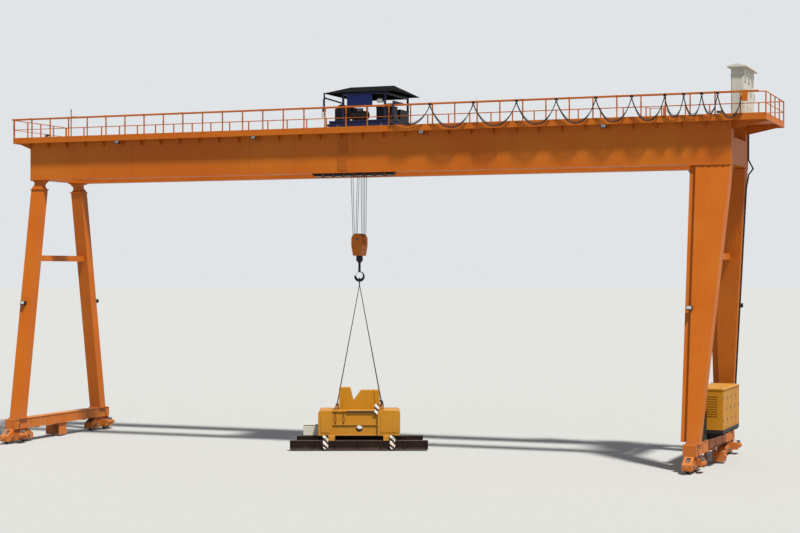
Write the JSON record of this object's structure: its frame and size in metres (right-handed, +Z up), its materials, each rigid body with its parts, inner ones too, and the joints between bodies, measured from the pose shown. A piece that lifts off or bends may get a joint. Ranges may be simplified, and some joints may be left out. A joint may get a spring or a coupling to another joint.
{
  "type": "rail-mounted double-girder gantry crane",
  "caption": "Gantry crane on steel rail wheels: box girders on leaning legs, a travelling hook trolley under a canopy, a container spreader in slings and a generator set on the sill",
  "frame": {"origin": "bottom centre of the crane's bounding box, on the ground at the wheels' lowest point", "axes": "+X along the girders towards the rigid legs, +Y along the crane rails, +Z up"},
  "size_m": [38.8, 10.5, 17.9499],
  "materials": {
    "orange_paint": "satin",
    "yellow_paint": "satin",
    "navy_paint": "satin",
    "cream_paint": "satin",
    "black_paint": "satin",
    "worn_steel": "brushed",
    "cable_rubber": "matte",
    "wire_rope": "brushed",
    "grey_paint": "satin",
    "striped_paint": "satin"
  },
  "bodies": {
    "portal": {"girder_near": "orange_paint", "girder_far": "orange_paint", "end_ties": "orange_paint", "trolley_rails": "worn_steel", "walkway_near": "orange_paint", "walkway_far": "orange_paint", "end_platforms": "orange_paint", "handrail_near": "orange_paint", "handrail_far": "orange_paint", "handrail_ends": "orange_paint", "electrical_cabinet": "cream_paint", "festoon_track": "orange_paint", "festoon_carriers": "worn_steel", "festoon_cable": "cable_rubber", "floodlights": "black_paint", "mast": "worn_steel", "rigid_leg_near": "orange_paint", "rigid_leg_far": "orange_paint", "flexible_leg_near": "orange_paint", "flexible_leg_far": "orange_paint", "leg_ties": "orange_paint", "sill_beams": "orange_paint", "bogies_rigid": "orange_paint", "bogies_flexible": "orange_paint", "travel_drives": "orange_paint", "rail_clamps": "orange_paint", "generator_base": "black_paint", "generator_housing": "yellow_paint", "control_cabinet": "black_paint", "power_cable": "cable_rubber", "access_ladder": "orange_paint", "ladder_cage": "orange_paint", "ladder_landings": "orange_paint", "landing_rails": "orange_paint", "access_stair": "orange_paint"},
    "trolley": {"trolley_frame": "navy_paint", "trolley_wheels": "worn_steel", "hoist_drum": "black_paint", "top_sheaves": "black_paint", "hoist_machinery": "black_paint", "canopy_roof": "navy_paint", "canopy_posts": "navy_paint", "trolley_arm": "navy_paint", "hoist_ropes": "wire_rope"},
    "block": {"hook_block": "orange_paint", "block_sheaves": "black_paint"},
    "load": {"hook": "black_paint", "slings": "wire_rope", "spreader_beams": "black_paint", "spreader_body": "yellow_paint", "spreader_flippers": "striped_paint"},
    "wheel_body_1": {"wheel_1": "worn_steel"},
    "wheel_body_2": {"wheel_2": "worn_steel"},
    "wheel_body_3": {"wheel_3": "worn_steel"},
    "wheel_body_4": {"wheel_4": "worn_steel"},
    "wheel_body_5": {"wheel_5": "worn_steel"},
    "wheel_body_6": {"wheel_6": "worn_steel"},
    "wheel_body_7": {"wheel_7": "worn_steel"},
    "wheel_body_8": {"wheel_8": "worn_steel"}
  },
  "joints": [
    {"name": "trolley_travel", "type": "slide", "parent": "portal", "child": "trolley", "axis": [1, 0, 0], "range_m": [-13, 13], "deforming": ["festoon_cable", "festoon_carriers"]},
    {"name": "hoist", "type": "slide", "parent": "trolley", "child": "block", "axis": [0, 0, 1], "range_m": [0, 4.3], "deforming": ["hoist_ropes"]},
    {"name": "hook_swivel", "type": "hinge", "parent": "block", "child": "load", "pos_m": [-0.9, 0, 9], "axis": [0, 0, 1], "continuous": true},
    {"name": "wheel_turn_1", "type": "hinge", "parent": "portal", "child": "wheel_body_1", "pos_m": [16.43, -4.6, 0.328], "axis": [1, 0, 0], "continuous": true},
    {"name": "wheel_turn_2", "type": "hinge", "parent": "portal", "child": "wheel_body_2", "pos_m": [16.43, -3.2, 0.328], "axis": [1, 0, 0], "continuous": true},
    {"name": "wheel_turn_3", "type": "hinge", "parent": "portal", "child": "wheel_body_3", "pos_m": [16.43, 3.2, 0.328], "axis": [1, 0, 0], "continuous": true},
    {"name": "wheel_turn_4", "type": "hinge", "parent": "portal", "child": "wheel_body_4", "pos_m": [16.43, 4.6, 0.328], "axis": [1, 0, 0], "continuous": true},
    {"name": "wheel_turn_5", "type": "hinge", "parent": "portal", "child": "wheel_body_5", "pos_m": [-18.2, -4.6, 0.328], "axis": [1, 0, 0], "continuous": true},
    {"name": "wheel_turn_6", "type": "hinge", "parent": "portal", "child": "wheel_body_6", "pos_m": [-18.2, -3.2, 0.328], "axis": [1, 0, 0], "continuous": true},
    {"name": "wheel_turn_7", "type": "hinge", "parent": "portal", "child": "wheel_body_7", "pos_m": [-18.2, 3.2, 0.328], "axis": [1, 0, 0], "continuous": true},
    {"name": "wheel_turn_8", "type": "hinge", "parent": "portal", "child": "wheel_body_8", "pos_m": [-18.2, 4.6, 0.328], "axis": [1, 0, 0], "continuous": true}
  ]
}
